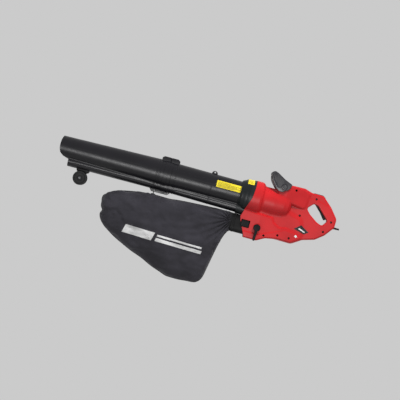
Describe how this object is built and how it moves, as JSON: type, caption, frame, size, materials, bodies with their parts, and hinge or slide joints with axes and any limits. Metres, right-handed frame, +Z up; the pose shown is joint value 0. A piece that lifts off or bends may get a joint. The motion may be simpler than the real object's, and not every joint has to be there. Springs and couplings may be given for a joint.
{
  "type": "leaf blower",
  "caption": "Corded hand-held leaf blower and vacuum with a two-part tube, nozzle wheels, red fan and motor housing, tilting front handle and zipped collecting bag.",
  "frame": {"origin": "middle of the rear grip", "axes": "+X along the main tube towards the rear handle, so the nozzle points along -X; +Z up, square to the tube; +Y to the side away from the mode knob"},
  "size_m": [1.2466, 0.156, 0.555],
  "materials": {
    "tube_black": "satin injection-moulded polypropylene",
    "collar_black": "satin moulded plastic",
    "trim_black": "fine-textured moulded plastic",
    "handle_black": "glossier moulded plastic with a ribbed grip",
    "housing_red": "semi-gloss red moulded plastic",
    "fan_nylon": "glass-filled nylon",
    "wheel_black": "hard black rubber",
    "soft_rubber": "soft black rubber",
    "steel": "zinc-plated steel",
    "iron": "laminated electrical steel",
    "copper": "enamelled copper",
    "brass": "brass",
    "bag_cloth": "woven polyester",
    "webbing": "woven webbing"
  },
  "bodies": {
    "body": {"front_tube": "tube_black", "rear_tube": "tube_black", "wheel_bracket": "trim_black", "wheel_axle": "steel", "tube_collar": "collar_black", "housing_left": "housing_red", "housing_right": "housing_red", "stator_core": "iron", "field_coil_left": "copper", "field_coil_right": "copper", "brush_left": "brass", "brush_right": "brass", "front_shield": "fan_nylon", "rear_shield": "fan_nylon", "front_bearing": "steel", "rear_bearing": "steel", "handle_bolt": "steel", "trigger_pin": "steel", "trigger_switch": "fan_nylon", "strain_relief": "soft_rubber", "grip_pad": "soft_rubber", "bag_adapter": "collar_black", "bag_fabric": "bag_cloth", "bag_hook": "webbing", "housing_screw_1": "steel", "housing_screw_2": "steel", "housing_screw_3": "steel", "housing_screw_4": "steel", "housing_screw_5": "steel", "housing_screw_6": "steel", "housing_screw_7": "steel", "housing_screw_8": "steel"},
    "rotor": {"impeller": "fan_nylon", "shredder_blade": "steel", "impeller_nut": "steel", "motor_shaft": "steel", "armature_core": "iron", "armature_winding": "copper", "commutator": "copper", "motor_fan": "fan_nylon"},
    "trigger": {"trigger": "trim_black"},
    "selector": {"selector_knob": "trim_black", "selector_shaft": "steel", "diverter_flap": "fan_nylon"},
    "aux_handle": {"aux_handle": "handle_black"},
    "knob_left": {"handle_knob_left": "trim_black"},
    "knob_right": {"handle_knob_right": "trim_black"},
    "wheel_left": {"wheel_left": "wheel_black"},
    "wheel_right": {"wheel_right": "wheel_black"},
    "tube_latch": {"tube_latch": "trim_black"},
    "bag_latch_left": {"bag_latch_left": "trim_black"},
    "bag_latch_right": {"bag_latch_right": "trim_black"}
  },
  "joints": [
    {"name": "rotor_spin", "type": "hinge", "parent": "body", "child": "rotor", "pos_m": [-0.265, 0, -0.022], "axis": [1, 0, 0], "continuous": true},
    {"name": "trigger_press", "type": "hinge", "parent": "body", "child": "trigger", "pos_m": [-0.039, 0, 0.022], "axis": [0, -1, 0], "range_deg": [0, 6], "stiffness_Nm_per_rad": 1.2, "springref_deg": -5.73},
    {"name": "selector_turn", "type": "hinge", "parent": "body", "child": "selector", "pos_m": [-0.269, 0, -0.145], "axis": [0, -1, 0], "range_deg": [0, 90]},
    {"name": "aux_handle_tilt", "type": "hinge", "parent": "body", "child": "aux_handle", "pos_m": [-0.199, 0, 0.052], "axis": [0, 1, 0], "range_deg": [-20, 70]},
    {"name": "knob_left_turn", "type": "hinge", "parent": "body", "child": "knob_left", "pos_m": [-0.199, -0.06, 0.052], "axis": [0, -1, 0], "range_deg": [0, 180]},
    {"name": "knob_right_turn", "type": "hinge", "parent": "body", "child": "knob_right", "pos_m": [-0.199, 0.06, 0.052], "axis": [0, 1, 0], "range_deg": [0, 180]},
    {"name": "wheel_left_spin", "type": "hinge", "parent": "body", "child": "wheel_left", "pos_m": [-1.056, -0.0155, -0.134], "axis": [0, 1, 0], "continuous": true},
    {"name": "wheel_right_spin", "type": "hinge", "parent": "body", "child": "wheel_right", "pos_m": [-1.056, 0.0155, -0.134], "axis": [0, 1, 0], "continuous": true},
    {"name": "tube_latch_press", "type": "slide", "parent": "body", "child": "tube_latch", "axis": [0, 0, -1], "range_m": [0, 0.004], "stiffness_N_per_m": 900, "springref_m": -0.002},
    {"name": "bag_latch_left_press", "type": "slide", "parent": "body", "child": "bag_latch_left", "axis": [0, 1, 0], "range_m": [0, 0.003], "stiffness_N_per_m": 900, "springref_m": -0.002},
    {"name": "bag_latch_right_press", "type": "slide", "parent": "body", "child": "bag_latch_right", "axis": [0, -1, 0], "range_m": [0, 0.003], "stiffness_N_per_m": 900, "springref_m": -0.002}
  ]
}
